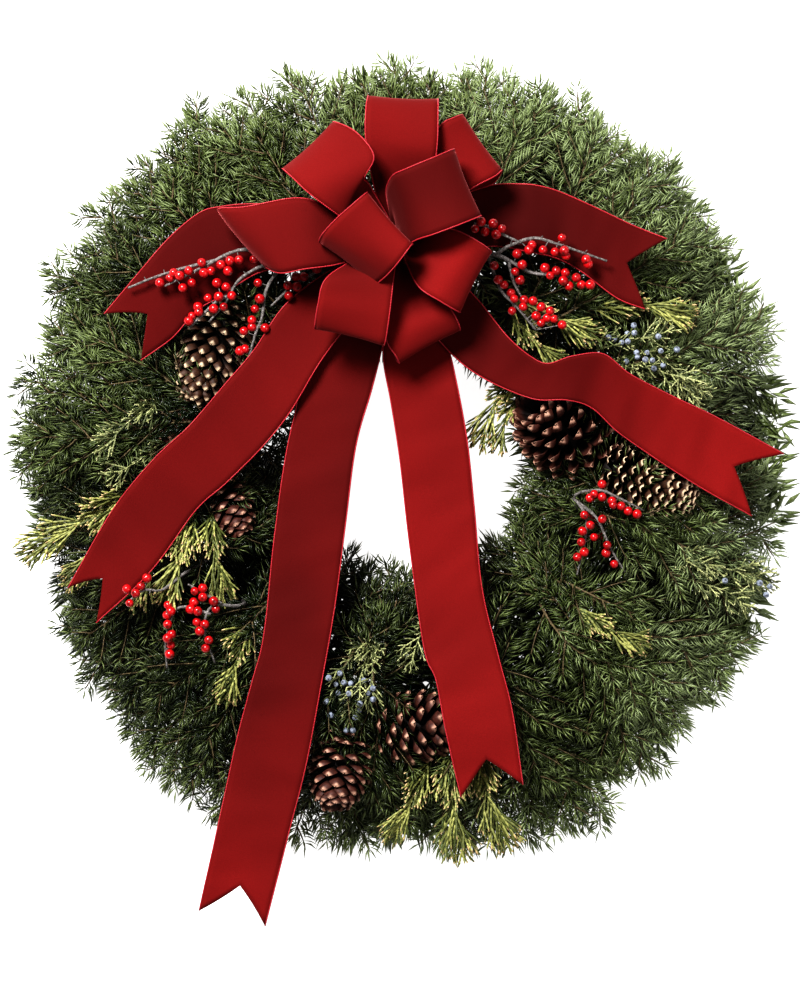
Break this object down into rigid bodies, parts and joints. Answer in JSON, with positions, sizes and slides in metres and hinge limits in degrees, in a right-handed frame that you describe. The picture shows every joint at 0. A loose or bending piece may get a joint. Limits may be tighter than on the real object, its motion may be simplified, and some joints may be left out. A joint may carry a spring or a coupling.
{
  "type": "christmas wreath",
  "caption": "Round fir wreath on a wire ring, with cedar, juniper, pine cones and red winterberries, and a deep red velvet bow with long notched tails.",
  "frame": {"origin": "middle of the bounding box's base, on the surface that the wreath lies on", "axes": "+Z out of the wreath's face, +Y towards the bow, along the long tails' line, +X to the right as seen from the front"},
  "size_m": [0.7124, 0.7703, 0.1865],
  "materials": {
    "green_wire": "dark green enamelled steel wire",
    "fir": "fresh dark green needles",
    "cedar": "yellow-green scale leaves with tan tips",
    "juniper": "grey-olive scale leaves",
    "cone_scale": "matt brown woody scales with tan edges",
    "winterberry": "glossy red berries on grey bark",
    "red_velvet": "deep red velvet with wired edges"
  },
  "bodies": {
    "root": {"bow_loops": "red_velvet", "bow_tie_wire": "green_wire", "cedar_bottom": "cedar", "cedar_bottom_inner": "juniper", "cedar_far_left": "cedar", "cedar_gold_right": "cedar", "cedar_hole_right": "cedar", "cedar_left": "cedar", "cedar_lower_left": "cedar", "cedar_upper_right": "cedar", "cone_bottom_left": "cone_scale", "cone_bottom_right": "cone_scale", "cone_left_lower": "cone_scale", "cone_left_middle": "cone_scale", "cone_left_upper": "cone_scale", "cone_right_big": "cone_scale", "cone_right_lower": "cone_scale", "fir_bundle_01": "fir", "fir_bundle_02": "fir", "fir_bundle_03": "fir", "fir_bundle_04": "fir", "fir_bundle_05": "fir", "fir_bundle_06": "fir", "fir_bundle_07": "fir", "fir_bundle_08": "fir", "fir_bundle_09": "fir", "fir_bundle_10": "fir", "fir_bundle_11": "fir", "fir_bundle_12": "fir", "hanging_loop": "green_wire", "juniper_bottom": "juniper", "juniper_left": "juniper", "juniper_right_edge": "juniper", "juniper_upper_right": "juniper", "tail_down_left": "red_velvet", "tail_down_right": "red_velvet", "tail_lower_left": "red_velvet", "tail_right": "red_velvet", "tail_upper_left": "red_velvet", "tail_upper_right": "red_velvet", "winterberry_far_left": "winterberry", "winterberry_left_bow": "winterberry", "winterberry_lower_left": "winterberry", "winterberry_right": "winterberry", "winterberry_upper_left": "winterberry", "winterberry_upper_right": "winterberry", "wire_frame": "green_wire"}
  },
  "joints": []
}
